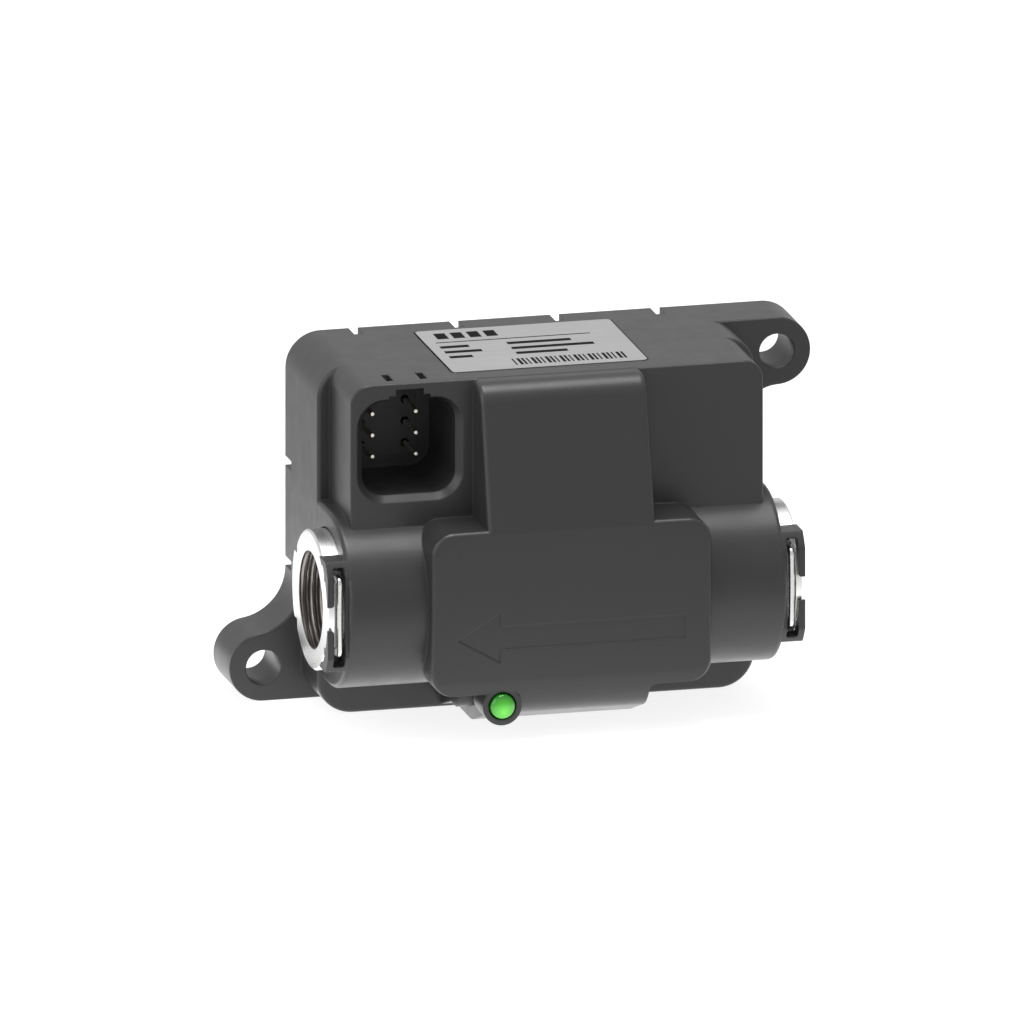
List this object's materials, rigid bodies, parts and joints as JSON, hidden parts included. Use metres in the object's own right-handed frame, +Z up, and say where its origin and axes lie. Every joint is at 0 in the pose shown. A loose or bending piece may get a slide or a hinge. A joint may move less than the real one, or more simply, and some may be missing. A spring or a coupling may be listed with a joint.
{
  "type": "electromagnetic flow meter",
  "caption": "Compact electromagnetic flow meter in a black moulded housing with two mounting ears, a plug socket and stainless pipe fittings at both ends.",
  "frame": {"origin": "on the rear mounting plane, level with the pipe's axis and midway between the pipe's ends", "axes": "+X along the pipe towards the inlet, -Y forward from the mounting plane, +Z up"},
  "size_m": [0.1132, 0.0536, 0.0685],
  "materials": {
    "black_moulding": "satin moulded",
    "pale_moulding": "satin moulded",
    "seal_rubber": "matt",
    "stainless_steel": "turned",
    "enamelled_copper": "enamelled winding",
    "soft_iron": "plain pressed",
    "green_laminate": "solder mask",
    "chip_package": "matt",
    "led_package": "matt",
    "capacitor_can": "drawn",
    "pin_plating": "plated",
    "green_lens": "clear green",
    "label_foil": "brushed foil"
  },
  "bodies": {
    "root": {"main_housing": "black_moulding", "rear_cover": "black_moulding", "measuring_tube": "pale_moulding", "upper_bobbin": "pale_moulding", "lower_bobbin": "pale_moulding", "cover_gasket": "seal_rubber", "inlet_seal_ring": "seal_rubber", "outlet_seal_ring": "seal_rubber", "front_electrode_seal": "seal_rubber", "rear_electrode_seal": "seal_rubber", "inlet_fitting": "stainless_steel", "outlet_fitting": "stainless_steel", "inlet_clip": "stainless_steel", "outlet_clip": "stainless_steel", "front_electrode": "stainless_steel", "rear_electrode": "stainless_steel", "front_electrode_nut": "stainless_steel", "rear_electrode_nut": "stainless_steel", "upper_pole_screw": "stainless_steel", "lower_pole_screw": "stainless_steel", "board_screw_1": "stainless_steel", "board_screw_2": "stainless_steel", "board_screw_3": "stainless_steel", "board_screw_4": "stainless_steel", "upper_coil": "enamelled_copper", "lower_coil": "enamelled_copper", "upper_pole": "soft_iron", "lower_pole": "soft_iron", "yoke": "soft_iron", "circuit_board": "green_laminate", "processor_chip": "chip_package", "amplifier_chip": "chip_package", "driver_chip": "chip_package", "pin_carrier": "chip_package", "status_led": "led_package", "coil_capacitor": "capacitor_can", "connector_pin_1": "pin_plating", "connector_pin_2": "pin_plating", "connector_pin_3": "pin_plating", "connector_pin_4": "pin_plating", "connector_pin_5": "pin_plating", "connector_pin_6": "pin_plating", "light_guide": "green_lens", "top_label": "label_foil"}
  },
  "joints": []
}
